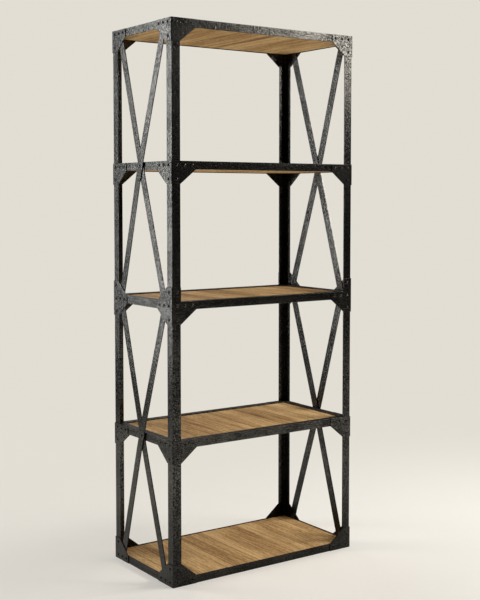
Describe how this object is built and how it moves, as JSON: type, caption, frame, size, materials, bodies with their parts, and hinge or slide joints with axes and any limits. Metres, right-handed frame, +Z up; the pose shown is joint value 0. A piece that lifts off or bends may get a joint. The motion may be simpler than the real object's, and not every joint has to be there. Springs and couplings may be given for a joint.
{
  "type": "open shelving bookcase",
  "caption": "Open bookcase with angle-iron posts, riveted corner gussets, crossed flat braces on both sides and wooden shelf panels in steel frames.",
  "frame": {"origin": "middle of the footprint, on the floor", "axes": "+Z up, +Y from the front to the back, +X from the left to the right as seen from the front"},
  "size_m": [0.917, 0.475, 2.2],
  "materials": {
    "blackened_steel": "blackened, slightly mottled, low sheen",
    "gusset_steel": "blackened, slightly mottled, low sheen",
    "brace_steel": "blackened, slightly mottled, low sheen",
    "rivet_steel": "blackened, rubbed lighter on the domes",
    "wood": "oiled, streaked grain running from front to back"
  },
  "bodies": {
    "root": {"front_left_post": "blackened_steel", "front_right_post": "blackened_steel", "back_left_post": "blackened_steel", "back_right_post": "blackened_steel", "bottom_front_rail": "blackened_steel", "bottom_back_rail": "blackened_steel", "bottom_left_rail": "blackened_steel", "bottom_right_rail": "blackened_steel", "lower_front_rail": "blackened_steel", "lower_back_rail": "blackened_steel", "lower_left_rail": "blackened_steel", "lower_right_rail": "blackened_steel", "middle_front_rail": "blackened_steel", "middle_back_rail": "blackened_steel", "middle_left_rail": "blackened_steel", "middle_right_rail": "blackened_steel", "upper_front_rail": "blackened_steel", "upper_back_rail": "blackened_steel", "upper_left_rail": "blackened_steel", "upper_right_rail": "blackened_steel", "top_front_rail": "blackened_steel", "top_back_rail": "blackened_steel", "top_left_rail": "blackened_steel", "top_right_rail": "blackened_steel", "bottom_shelf_panel": "wood", "lower_shelf_panel": "wood", "middle_shelf_panel": "wood", "upper_shelf_panel": "wood", "top_shelf_panel": "wood", "bottom_front_left_gusset": "gusset_steel", "bottom_front_right_gusset": "gusset_steel", "bottom_back_left_gusset": "gusset_steel", "bottom_back_right_gusset": "gusset_steel", "lower_front_left_gusset": "gusset_steel", "lower_front_right_gusset": "gusset_steel", "lower_back_left_gusset": "gusset_steel", "lower_back_right_gusset": "gusset_steel", "middle_front_left_gusset": "gusset_steel", "middle_front_right_gusset": "gusset_steel", "middle_back_left_gusset": "gusset_steel", "middle_back_right_gusset": "gusset_steel", "upper_front_left_gusset": "gusset_steel", "upper_front_right_gusset": "gusset_steel", "upper_back_left_gusset": "gusset_steel", "upper_back_right_gusset": "gusset_steel", "top_front_left_gusset": "gusset_steel", "top_front_right_gusset": "gusset_steel", "top_back_left_gusset": "gusset_steel", "top_back_right_gusset": "gusset_steel", "lower_left_inner_brace": "brace_steel", "lower_left_outer_brace": "brace_steel", "lower_right_inner_brace": "brace_steel", "lower_right_outer_brace": "brace_steel", "upper_left_inner_brace": "brace_steel", "upper_left_outer_brace": "brace_steel", "upper_right_inner_brace": "brace_steel", "upper_right_outer_brace": "brace_steel", "corner_rivets": "rivet_steel", "brace_rivets": "rivet_steel", "panel_screws": "rivet_steel"}
  },
  "joints": []
}
